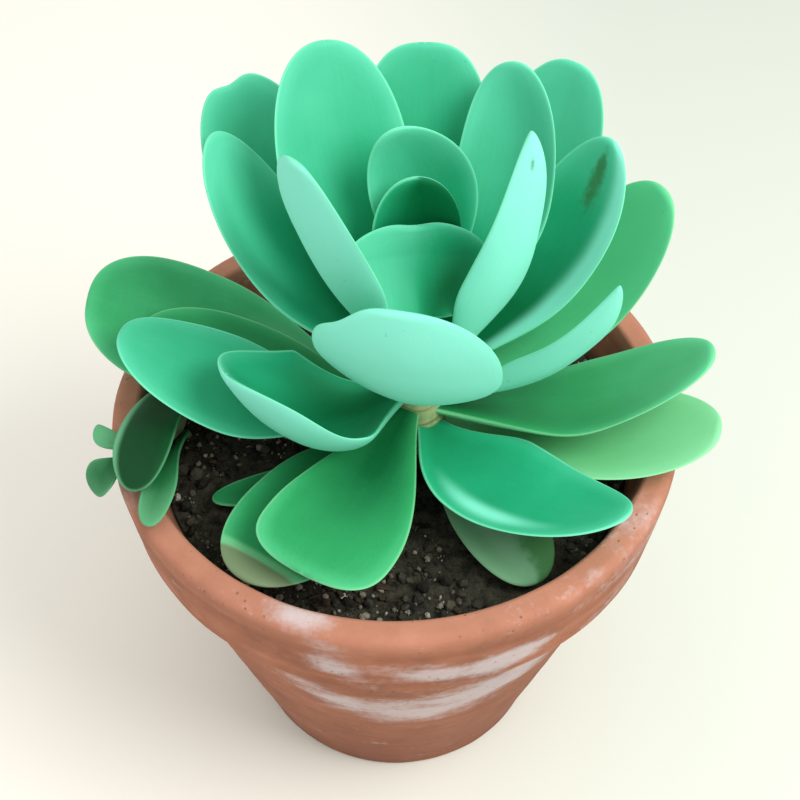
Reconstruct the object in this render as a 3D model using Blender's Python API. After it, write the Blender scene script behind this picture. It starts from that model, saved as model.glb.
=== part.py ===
"""Potted kalanchoe: a clay pot of soil with a leafy succulent and a small offset.

The origin is the centre of the pot's base. +Z is up and -Y is the side that is seen first.
Sizes in the tables and constants are millimetres and degrees; meshes are made in metres.
"""

import math
from collections import namedtuple

import bmesh
import bpy
from mathutils import Vector

MM = 0.001
FIT_GAP = 0.3

# Pot, thrown clay with a collar
RIM_RADIUS = 65.0
POT_HEIGHT = 104.0
COLLAR_HEIGHT = 22.0
COLLAR_FOOT_RADIUS = 63.0
COLLAR_EDGE = 1.2
NECK_RADIUS = 59.7
NECK_DROP = 0.8
FOOT_RADIUS = 39.0
FOOT_CHAMFER = 1.6
RIM_INNER_RADIUS = 58.5
MOUTH_EDGE = 1.4
LIP_ROUND = 2.6
LIP_STEPS = 4
WALL = 5.6
FLOOR = 7.5
FLOOR_COVE = 4.0
DRAIN_RADIUS = 6.0
POT_SEGMENTS = 56

# Soil, heaped a little round the stem
SOIL_LEVEL = 90.0
SOIL_CROWN = 1.6
SOIL_LUMP = 0.9
SOIL_SEGMENTS = 40
SOIL_RINGS = 7
SOIL_SKIN = 1.0

# Main stem, a little right of the pot's middle, as (height, radius) from its blunt root end up
STEM_PLACE = (5.0, 0.0)
STEM_OUTLINE = ((54.0, 3.3), (58.0, 5.3), (94.0, 6.6), (106.0, 6.1), (129.0, 3.4), (131.0, 2.4))
STEM_SEGMENTS = 20

# Leaf blades
LEAF_THICKNESS = 3.4
BROAD_LEAF = 28.0
THIN_SHARE = 0.55
LEAF_AROUND = 12
LEAF_ALONG = 14
DENT_WIDTH = 0.12
DENT_LENGTH = 0.2
FLATTEST_CUP = 0.02
CREASE = 0.12

Leaf = namedtuple(
    "Leaf",
    "name node heading reach rise width bow sweep cup fold roll twist notch dent widest foot swell"
    " blunt start",
    defaults=(0.0, 0.0, (20.0, 15.0), 0.3, 0.0, 0.0, 0.0, 0.0, 0.62, 0.28, 2.0, 2.2, 2.5),
)

# node is the height where the leaf leaves the stem. The tip lies at heading (anticlockwise from +X,
# seen from above), reach from the stem's axis and rise above the node. bow is how far the middle hangs
# below the straight line to the tip, sweep how far it stands to the leaf's left, and cup how far each
# half bends up, at the base and at the tip, where it flattens out. fold says how much of that bend is a
# crease along the midrib. roll lifts the leaf's left side and twist adds to it towards the tip. notch is
# the depth of the dent in the tip and dent its place, in half widths to the leaf's left. widest is the
# share of the length where the blade is broadest, foot the breadth of its foot as a share of the width,
# swell how late the blade widens, blunt how broad its tip is, and start how far from the stem's axis
# the midrib begins.
LEAVES = (
    Leaf("leaf_back_left", 116.7, 118.0, 42.0, 58.8, 32.0, 4.0, 3.2, (35.0, 30.0), foot=0.21),
    Leaf("leaf_back_middle", 113.8, 88.0, 46.0, 55.2, 29.5, 6.0, -0.5, (30.0, 25.0), foot=0.2, blunt=2.8),
    Leaf("leaf_back_right", 116.8, 61.5, 41.0, 54.2, 24.5, 6.0, -6.0, (35.0, 40.0), foot=0.2),
    Leaf(
        "leaf_far_back_right", 108.9, 54.0, 60.0, 53.1, 29.0, 12.0, 0.6, (30.0, 25.0),
        foot=0.23, blunt=2.4,
    ),
    Leaf(
        "leaf_far_back_left", 105.5, 134.8, 59.2, 57.5, 31.0, 10.0, -2.0, (30.0, 25.0),
        roll=-16.0, notch=2.0,
    ),
    Leaf("leaf_left_upper", 112.6, 148.0, 51.4, 46.6, 24.6, 7.5, 3.0, (35.0, 30.0), foot=0.26, blunt=1.9),
    Leaf(
        "leaf_inner_left", 119.8, -170.5, 24.3, 57.2, 24.0, 5.0, 0.5, (40.0, 30.0),
        roll=34.0, widest=0.5, foot=0.2,
    ),
    Leaf(
        "leaf_inner_right", 116.0, 4.0, 21.0, 63.5, 17.5, 5.0, -2.6, (30.0, 25.0),
        roll=-60.0, twist=-5.0, widest=0.4, foot=0.18, blunt=1.5, start=5.2,
    ),
    Leaf("leaf_right_upper", 111.8, 32.5, 48.8, 46.6, 26.0, 9.5, -1.4, (40.0, 32.0), roll=6.0, blunt=1.9),
    Leaf("leaf_far_right_upper", 105.5, 22.0, 58.0, 42.5, 30.5, 10.0, 0.0, (30.0, 25.0), foot=0.24),
    Leaf(
        "leaf_right_middle", 107.8, -17.0, 41.4, 44.3, 13.0, 9.0, 0.2, (35.0, 30.0),
        roll=-60.0, widest=0.45, foot=0.18, blunt=1.5, start=3.2,
    ),
    Leaf(
        "leaf_heart_back", 122.5, 109.5, 18.5, 44.4, 24.5, 7.0, -8.0, (36.0, 30.0),
        roll=-3.0, fold=0.3, widest=0.64, foot=0.22, blunt=2.0,
    ),
    Leaf("leaf_heart", 126.0, 91.0, 12.8, 32.9, 22.0, 4.8, 0.0, (60.0, 55.0), fold=0.6, foot=0.21),
    Leaf(
        "leaf_heart_front", 132.5, 95.0, 9.0, 17.8, 31.0, 2.0, 0.0, (52.0, 25.0),
        fold=0.7, notch=0.9, widest=0.68, foot=0.5, start=-2.3,
    ),
    Leaf(
        "leaf_front_upper", 112.0, -97.5, 26.2, 46.8, 39.5, 8.0, 0.0, (25.0, 15.0),
        roll=-5.0, notch=3.8, dent=-0.72, widest=0.64, blunt=2.4,
    ),
    Leaf(
        "leaf_far_left", 93.4, 165.6, 78.9, 24.2, 38.5, 3.2, -4.6, (20.0, 10.0),
        widest=0.67, foot=0.44, swell=3.0, blunt=2.5, start=6.2,
    ),
    Leaf("leaf_left_tucked", 98.0, 172.0, 64.0, 19.1, 30.0, 2.8),
    Leaf("leaf_left_lower", 103.6, 179.0, 65.0, 22.2, 30.0, 5.8, 4.2, (20.0, 10.0), roll=2.0, foot=0.2),
    Leaf(
        "leaf_left_front", 109.7, -157.2, 43.4, 21.5, 43.2, 11.2, 4.6, (64.0, 58.0),
        roll=8.5, twist=5.0, widest=0.45, foot=0.22, blunt=2.8,
    ),
    Leaf(
        "leaf_front", 105.6, -114.6, 57.0, 4.4, 29.8, 1.5, 0.8, (15.0, 10.0),
        roll=-5.0, widest=0.78, foot=0.15, swell=1.5, blunt=3.2,
    ),
    Leaf(
        "leaf_front_tucked", 96.3, -126.6, 61.2, 7.8, 29.5, 1.6, -1.2, (15.0, 10.0),
        widest=0.56, swell=1.4, blunt=2.2,
    ),
    Leaf(
        "leaf_right_front", 99.4, -42.3, 59.0, 15.4, 30.5, 3.6, -7.9, (60.0, 10.0),
        roll=-9.0, widest=0.45, foot=0.2, swell=1.5, blunt=2.1,
    ),
    Leaf("leaf_right_lower", 103.5, -2.0, 65.0, 19.5, 33.0, 8.0, -2.8, (25.0, 20.0), roll=-18.0),
    Leaf(
        "leaf_far_right_lower", 96.0, -14.0, 68.0, 16.5, 32.5, 4.0, 0.0,
        roll=-8.0, foot=0.28, swell=1.8,
    ),
    Leaf("leaf_old_right", 93.5, -60.0, 50.5, 0.5, 20.0, -3.0, 1.2, (10.0, 5.0)),
    Leaf("leaf_old_left", 92.3, -156.0, 50.6, 1.2, 9.0, -1.5, 3.2, (10.0, 5.0)),
)

# Offset, a young shoot that leans along the wall and hangs its leaves over the rim
OFFSET_RADIUS = 1.8
OFFSET_ROUTE = (
    (-48.0, 8.9, 82.3),
    (-48.5, 8.6, 90.0),
    (-49.4, 6.4, 95.0),
    (-50.2, 1.0, 97.6),
    (-50.6, -4.5, 99.6),
    (-53.6, -11.5, 103.3),
    (-58.8, -18.2, 107.0),
)
OFFSET_LEAF_START = 2.3

# Plain hole for the offset in the soil
OFFSET_HOLE_PLACE = (-48.2, 8.8)
OFFSET_HOLE_RADIUS = 2.7
OFFSET_HOLE_FOOT = 82.0
OFFSET_HOLE_HEIGHT = 30.0
OFFSET_HOLE_SEGMENTS = 12

# The offset's leaves: where each one's node is on the shoot, as x and y, and the leaf
OFFSET_LEAVES = (
    (
        (-49.6, 8.5),
        Leaf(
            "offset_leaf_large", 98.9, -98.0, 39.0, 10.0, 12.8, -4.0, -2.0, (15.0, 10.0),
            foot=0.9,
        ),
    ),
    ((-57.4, -17.2), Leaf("offset_leaf_rear", 107.3, 138.0, 12.6, -1.6, 5.6, 1.6, 1.2, swell=1.3, blunt=1.6)),
    ((-57.2, -18.4), Leaf("offset_leaf_outer", 107.0, 217.0, 11.2, -4.5, 9.5, -1.0)),
    (
        (-47.4, -4.4),
        Leaf(
            "offset_leaf_front", 100.5, -97.5, 33.5, 6.0, 7.2, -2.5,
            widest=0.74, foot=0.24, swell=4.0,
        ),
    ),
)

# Colour as linear RGB, roughness
FINISHES = {
    "clay": ((0.44, 0.17, 0.09), 0.85),
    "soil": ((0.012, 0.010, 0.008), 0.95),
    "stem": ((0.30, 0.36, 0.17), 0.60),
    "leaf": ((0.12, 0.48, 0.27), 0.45),
}


def clear_scene():
    """Remove every object of the scene that the script starts in."""
    for thing in list(bpy.data.objects):
        bpy.data.objects.remove(thing, do_unlink=True)


def material(finish):
    """The Principled material of one finish, made once."""
    found = bpy.data.materials.get(finish)
    if found:
        return found
    colour, roughness = FINISHES[finish]
    made = bpy.data.materials.new(finish)
    made.use_nodes = True
    shader = made.node_tree.nodes["Principled BSDF"]
    shader.inputs["Base Color"].default_value = (*colour, 1.0)
    shader.inputs["Roughness"].default_value = roughness
    shader.inputs["Metallic"].default_value = 0.0
    return made


def add_object(name, shape, finish):
    """Turn a bmesh into a smooth shaded object."""
    mesh = bpy.data.meshes.new(name)
    shape.to_mesh(mesh)
    shape.free()
    mesh.shade_smooth()
    mesh.materials.append(material(finish))
    thing = bpy.data.objects.new(name, mesh)
    bpy.context.scene.collection.objects.link(thing)
    return thing


def turn(outline, segments, place=(0.0, 0.0)):
    """Spin an outline of (radius, height) points about the vertical through place."""
    shape = bmesh.new()
    points = [shape.verts.new((radius * MM, 0.0, height * MM)) for radius, height in outline]
    edges = [shape.edges.new(pair) for pair in zip(points, points[1:] + points[:1])]
    bmesh.ops.spin(
        shape,
        geom=points + edges,
        cent=(0.0, 0.0, 0.0),
        axis=(0.0, 0.0, 1.0),
        angle=math.tau,
        steps=segments,
        use_merge=True,
    )
    bmesh.ops.remove_doubles(shape, verts=shape.verts, dist=0.02 * MM)
    bmesh.ops.dissolve_degenerate(shape, edges=shape.edges, dist=0.01 * MM)
    bmesh.ops.recalc_face_normals(shape, faces=shape.faces)
    bmesh.ops.translate(shape, verts=shape.verts, vec=(place[0] * MM, place[1] * MM, 0.0))
    return shape


def cut(thing, cutter):
    """Cut one object with another, which is then only a guide."""
    cutter.hide_render = True
    cutter.display_type = "WIRE"
    trim = thing.modifiers.new("cut_" + cutter.name, "BOOLEAN")
    trim.operation = "DIFFERENCE"
    trim.solver = "EXACT"
    trim.object = cutter


def wall_radius(height):
    """Radius of the pot's inner wall at a height."""
    low = FOOT_RADIUS - WALL
    return low + (RIM_INNER_RADIUS - low) * (height - FLOOR) / (POT_HEIGHT - FLOOR)


def build_pot():
    """The clay pot: tapered body, stepped collar with a rolled lip, and a drain hole."""
    collar_foot = POT_HEIGHT - COLLAR_HEIGHT
    lip = []
    for step in range(LIP_STEPS + 1):
        angle = math.pi / 2.0 * step / LIP_STEPS
        lip.append((
            RIM_RADIUS - LIP_ROUND * (1.0 - math.cos(angle)),
            POT_HEIGHT - LIP_ROUND * (1.0 - math.sin(angle)),
        ))
    outline = [
        (DRAIN_RADIUS, 0.0),
        (FOOT_RADIUS - FOOT_CHAMFER, 0.0),
        (FOOT_RADIUS, FOOT_CHAMFER),
        (NECK_RADIUS, collar_foot - NECK_DROP),
        (COLLAR_FOOT_RADIUS - COLLAR_EDGE, collar_foot),
        (COLLAR_FOOT_RADIUS, collar_foot + COLLAR_EDGE),
        *lip,
        (RIM_INNER_RADIUS + MOUTH_EDGE, POT_HEIGHT),
        (wall_radius(POT_HEIGHT - MOUTH_EDGE), POT_HEIGHT - MOUTH_EDGE),
        (wall_radius(SOIL_LEVEL), SOIL_LEVEL),
        (wall_radius(FLOOR + FLOOR_COVE), FLOOR + FLOOR_COVE),
        (wall_radius(FLOOR) - FLOOR_COVE, FLOOR),
        (DRAIN_RADIUS, FLOOR),
    ]
    add_object("pot", turn(outline, POT_SEGMENTS), "clay")


def soil_height(share, angle):
    """Height of the soil's top: a low heap with soft lumps that fade out at the wall."""
    slope = 1.0 - share * share
    lumps = math.sin(3.0 * angle + 1.3) * math.sin(7.0 * share + 0.4)
    lumps += 0.6 * math.sin(7.0 * angle + 4.0 * share)
    return SOIL_LEVEL + SOIL_CROWN * slope + SOIL_LUMP * lumps * share * slope


def build_soil():
    """Soil that fills the pot to a little below the rim."""
    side = wall_radius(SOIL_LEVEL) - FIT_GAP
    outline = [(side * ring / SOIL_RINGS, SOIL_LEVEL) for ring in range(SOIL_RINGS + 1)]
    outline += [
        (wall_radius(FLOOR + FLOOR_COVE) - FIT_GAP, FLOOR + FLOOR_COVE),
        (wall_radius(FLOOR) - FLOOR_COVE - FIT_GAP, FLOOR + FIT_GAP),
        (0.0, FLOOR + FIT_GAP),
    ]
    shape = turn(outline, SOIL_SEGMENTS)
    for point in shape.verts:
        share = point.co.to_2d().length / MM / side
        if point.co.z > (SOIL_LEVEL - SOIL_SKIN) * MM and share < 1.0:
            angle = math.atan2(point.co.y, point.co.x)
            point.co.z = soil_height(share, angle) * MM
    add_object("soil", shape, "soil")


def stem_shape(gap):
    """The main stem's solid, grown all round by a gap."""
    low, high = STEM_OUTLINE[0], STEM_OUTLINE[-1]
    outline = [(0.0, low[0] - gap), (low[1] + gap, low[0] - gap)]
    outline += [(radius + gap, height) for height, radius in STEM_OUTLINE[1:-1]]
    outline += [(high[1] + gap, high[0] + gap), (0.0, high[0] + gap)]
    return turn(outline, STEM_SEGMENTS, STEM_PLACE)


def spine(leaf, axis, share):
    """Point on a leaf's midrib, the direction along it and the leaf's left, from base 0 to tip 1."""
    heading = math.radians(leaf.heading)
    out = Vector((math.cos(heading), math.sin(heading), 0.0))
    left = Vector((-math.sin(heading), math.cos(heading), 0.0))
    foot = Vector((*axis, leaf.node)) + out * leaf.start
    tip = Vector((*axis, leaf.node + leaf.rise)) + out * leaf.reach
    below = left.cross(tip - foot).normalized()
    if below.z > 0.0 or (below.z == 0.0 and below.dot(out) < 0.0):
        below = -below
    middle = (foot + tip) / 2.0 + 2.0 * (leaf.bow * below + leaf.sweep * left)
    rest = 1.0 - share
    point = rest * rest * foot + 2.0 * rest * share * middle + share * share * tip
    along = (rest * (middle - foot) + share * (tip - middle)).normalized()
    return point, along, left


def half_width(leaf, share):
    """Half of a leaf's width: a narrow foot, widest past the middle, and a round or pointed tip."""
    if share < leaf.widest:
        swell = math.sin(math.pi / 2.0 * share / leaf.widest) ** leaf.swell
        shape = leaf.foot + (1.0 - leaf.foot) * swell
    else:
        past = (share - leaf.widest) / (1.0 - leaf.widest)
        shape = max(0.0, 1.0 - past ** leaf.blunt) ** (1.0 / leaf.blunt)
    return leaf.width / 2.0 * shape


def half_thickness(leaf, share):
    """Half of a leaf's thickness: fullest at a quarter of the length and thin past two thirds."""
    swell = math.sin(math.pi * min(1.0, share * 1.2 + 0.2))
    full = LEAF_THICKNESS / 2.0 * math.sqrt(min(1.0, leaf.width / BROAD_LEAF))
    return full * (THIN_SHARE + (1.0 - THIN_SHARE) * swell)


def dent_depth(leaf, share, flat):
    """How far the dent in the tip draws a point back, by its distance from the midrib."""
    near_tip = max(0.0, 1.0 - (1.0 - share) / DENT_LENGTH)
    away = (flat - leaf.dent * leaf.width / 2.0) / (DENT_WIDTH * leaf.width)
    return leaf.notch * near_tip * math.exp(-away * away)


def leaf_point(leaf, axis, share, turn_angle):
    """Point on a leaf's skin: share runs from base to tip and turn_angle round the blade."""
    point, along, left = spine(leaf, axis, share)
    across = (left - along * left.dot(along)).normalized()
    upper = along.cross(across)
    roll = math.radians(leaf.roll + leaf.twist * share)
    side = across * math.cos(roll) + upper * math.sin(roll)
    face = upper * math.cos(roll) - across * math.sin(roll)

    base_cup, tip_cup = leaf.cup
    cup = math.radians(base_cup + (tip_cup - base_cup) * share)
    wide = half_width(leaf, share)
    if share > leaf.widest:
        cup *= wide / (leaf.width / 2.0)
    cup = max(FLATTEST_CUP, cup)
    out = math.cos(turn_angle)
    hinge = math.sqrt(out * out + CREASE * CREASE)
    lean = cup * ((1.0 - leaf.fold) * out + leaf.fold * 0.5 * out / hinge)
    lift = half_thickness(leaf, share) * math.sin(turn_angle)
    flat = (1.0 - leaf.fold) * math.sin(cup * out) / cup + leaf.fold * out * math.cos(cup / 2.0)
    height = (1.0 - leaf.fold) * (1.0 - math.cos(cup * out)) / cup
    height += leaf.fold * (hinge - CREASE) * math.sin(cup / 2.0)
    flat = wide * flat - lift * math.sin(lean)
    height = wide * height + lift * math.cos(lean)

    return point + side * flat + face * height - along * dent_depth(leaf, share, flat)


def build_leaf(leaf, axis):
    """One leaf: a sphere drawn out along its midrib."""
    shape = bmesh.new()
    bmesh.ops.create_uvsphere(shape, u_segments=LEAF_AROUND, v_segments=LEAF_ALONG, radius=1.0)
    for point in shape.verts:
        share = min(1.0, max(0.0, (1.0 + point.co.z) / 2.0))
        if point.co.to_2d().length < 0.001:
            middle, along, _ = spine(leaf, axis, share)
            place = middle - along * dent_depth(leaf, share, 0.0)
        else:
            place = leaf_point(leaf, axis, share, math.atan2(point.co.y, point.co.x))
        point.co = place * MM
    bmesh.ops.recalc_face_normals(shape, faces=shape.faces)
    return add_object(leaf.name, shape, "leaf")


def build_plant():
    """The main stem with its leaves, standing in a hole in the soil."""
    add_object("stem", stem_shape(0.0), "stem")
    space = add_object("stem_space", stem_shape(FIT_GAP), "stem")
    cut(bpy.data.objects["soil"], space)
    for leaf in LEAVES:
        cut(build_leaf(leaf, STEM_PLACE), space)


def build_offset():
    """The leaning young shoot, its hole in the soil and its small leaves."""
    curve = bpy.data.curves.new("offset_stem", "CURVE")
    curve.dimensions = "3D"
    curve.bevel_depth = OFFSET_RADIUS * MM
    curve.bevel_resolution = 2
    curve.use_fill_caps = True
    curve.resolution_u = 4
    line = curve.splines.new("BEZIER")
    line.bezier_points.add(len(OFFSET_ROUTE) - 1)
    for point, place in zip(line.bezier_points, OFFSET_ROUTE):
        point.co = Vector(place) * MM
        point.handle_left_type = "AUTO"
        point.handle_right_type = "AUTO"
    curve.materials.append(material("stem"))
    bpy.context.scene.collection.objects.link(bpy.data.objects.new("offset_stem", curve))

    hole = bmesh.new()
    bmesh.ops.create_cone(
        hole,
        cap_ends=True,
        segments=OFFSET_HOLE_SEGMENTS,
        radius1=OFFSET_HOLE_RADIUS * MM,
        radius2=OFFSET_HOLE_RADIUS * MM,
        depth=OFFSET_HOLE_HEIGHT * MM,
    )
    middle = Vector((*OFFSET_HOLE_PLACE, OFFSET_HOLE_FOOT + OFFSET_HOLE_HEIGHT / 2.0))
    bmesh.ops.translate(hole, verts=hole.verts, vec=middle * MM)
    cut(bpy.data.objects["soil"], add_object("offset_space", hole, "stem"))

    for axis, leaf in OFFSET_LEAVES:
        build_leaf(leaf._replace(start=OFFSET_LEAF_START), axis)


def main():
    clear_scene()
    build_pot()
    build_soil()
    build_plant()
    build_offset()


main()
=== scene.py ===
"""Looks of the potted kalanchoe: the clay pot, its soil and grit, the rosette, the stem and the offset.

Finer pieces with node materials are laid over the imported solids. The origin is the centre of the pot's
base, +Z is up and -Y is the side that is seen first. Sizes in the tables and constants are millimetres
and degrees, the settings that a user can change are metres, and meshes are made in metres.
"""

import math
import random
from collections import namedtuple

import bmesh
import bpy
from bpy.props import FloatProperty, FloatVectorProperty, IntProperty, PointerProperty
from mathutils import Euler, Matrix, Vector
from mathutils import noise as field
from mathutils.kdtree import KDTree


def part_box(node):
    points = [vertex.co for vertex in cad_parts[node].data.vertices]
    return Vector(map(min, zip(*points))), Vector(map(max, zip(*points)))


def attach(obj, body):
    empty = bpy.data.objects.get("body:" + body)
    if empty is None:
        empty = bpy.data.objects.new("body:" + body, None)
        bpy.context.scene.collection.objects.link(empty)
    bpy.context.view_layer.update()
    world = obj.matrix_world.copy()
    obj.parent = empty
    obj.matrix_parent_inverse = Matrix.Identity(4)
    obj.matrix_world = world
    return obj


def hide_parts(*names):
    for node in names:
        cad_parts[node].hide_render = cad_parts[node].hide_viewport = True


bl_info = {
    "name": "Potted Kalanchoe",
    "version": (1, 0, 0),
    "blender": (4, 5, 0),
    "location": "View3D > Sidebar > Kalanchoe",
    "description": "Builds a leafy kalanchoe in a clay pot, with its soil and a small offset",
    "category": "Add Mesh",
}

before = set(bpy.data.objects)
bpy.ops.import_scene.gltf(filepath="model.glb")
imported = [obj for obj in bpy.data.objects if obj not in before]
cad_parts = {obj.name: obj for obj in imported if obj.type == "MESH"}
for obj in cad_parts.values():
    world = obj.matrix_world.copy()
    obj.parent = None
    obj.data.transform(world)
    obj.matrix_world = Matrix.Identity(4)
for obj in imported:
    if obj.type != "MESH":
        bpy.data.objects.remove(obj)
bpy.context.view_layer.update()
POT_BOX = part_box("pot")

MM = 0.001
BODY = "root"

# Pot, thrown clay with a collar
RIM_RADIUS = 65.0
POT_HEIGHT = 104.0
COLLAR_HEIGHT = 22.0
COLLAR_FOOT_RADIUS = 63.0
COLLAR_EDGE = 1.2
NECK_RADIUS = 59.7
NECK_DROP = 0.8
FOOT_RADIUS = 39.0
FOOT_CHAMFER = 1.6
RIM_INNER_RADIUS = 58.5
MOUTH_EDGE = 1.4
LIP_ROUND = 2.6
WALL = 5.6
FLOOR = 7.5
FLOOR_COVE = 4.0
DRAIN_RADIUS = 6.0
POT_STEPS = 200
POT_ROW = 1.3
HIDDEN_ROW = 6.0
ARC_STEPS = 8
THROW_RIDGE = 0.07
RIDGE_TURN = 1.9
POT_WARP = 0.22
WARP_ROUND = 1.2
WARP_SIZE = 60.0
HOLLOW_DEPTH = 0.16
HOLLOW_SIZE = 9.0
WALL_SKIN = 0.3
FLAT_FOOT = 0.3
# How far from the top the lip is painted lighter, partly as worn clay and partly as a painted highlight.
WEAR_AND_HIGHLIGHT_BAND = 5.0
STAIN_BAND = 5.0

# Soil, heaped a little round the stem
SOIL_LEVEL = 90.0
SOIL_CROWN = 1.6
SOIL_LUMP = 0.9
SOIL_STEPS = 200
SOIL_RINGS = 74
SOIL_GAP = 0.12
SOIL_SHOULDER = 4.0
SEEN_BELOW_SOIL = 2.0
CRUMB_HEIGHT = 1.1
CRUMB_SIZE = 5.2
DUST_HEIGHT = 0.35
DUST_SIZE = 1.1

# Loose bits on the soil: how far they keep from the wall, the stem and the leaves that lie low, how
# uneven they are, and the way that the fine roots wander
BIT_SEED = 11
GRIT_EDGE = 1.2
CHIP_EDGE = 3.0
ROOT_EDGE = 8.0
STEM_CLEAR = 7.2
LOW_LEAF_TIP = 95.0
LOW_LEAF_EDGE = 2.0
BIT_JOG = 0.16
BIT_JOG_SIZE = 0.8
CHIP_JOG = 0.35
CHIP_BEVEL = 0.1
ROOT_RADIUS = 0.13
ROOT_LIFT = 0.45
ROOT_STEP = 0.9
ROOT_TURN = 0.5

# Stem, a little right of the pot's middle, as (height, radius) from its blunt root end up
STEM_PLACE = (5.0, 0.0)
STEM_OUTLINE = ((54.0, 3.3), (58.0, 5.3), (94.0, 6.6), (106.0, 6.1), (129.0, 3.4), (131.0, 2.4))
STEM_STEPS = 64
STEM_ROW = 0.6
STEM_SCARS = (88.5, 91.6, 94.4, 97.8, 100.9, 103.6, 107.2, 111.0)
SCAR_WIDTH = 0.55
SCAR_SWELL = 0.3
STEM_LUMP = 0.22
STEM_LUMP_SIZE = 3.5

# Leaf blades
LEAF_THICKNESS = 3.4
BROAD_LEAF = 28.0
THIN_SHARE = 0.55
LEAF_AROUND = 64
LEAF_ALONG = 76
OFFSET_AROUND = 40
OFFSET_ALONG = 44
DENT_WIDTH = 0.12
DENT_LENGTH = 0.2
FLATTEST_CUP = 0.02
CREASE = 0.12
EDGE_ROUND = 1.05
TIP_ROUND = 1.3
WAVE_HEIGHT = 0.42
WAVE_LENGTH = 6.5
LUMP_HEIGHT = 0.2
LUMP_SIZE = 14.0

# How fast a mark or a patch of salt fades away from its middle
FADE = 0.7

Leaf = namedtuple(
    "Leaf",
    "name node heading reach rise width bow sweep cup fold roll twist notch dent widest foot swell"
    " blunt start",
    defaults=(0.0, 0.0, (20.0, 15.0), 0.3, 0.0, 0.0, 0.0, 0.0, 0.62, 0.28, 2.0, 2.2, 2.5),
)

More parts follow.
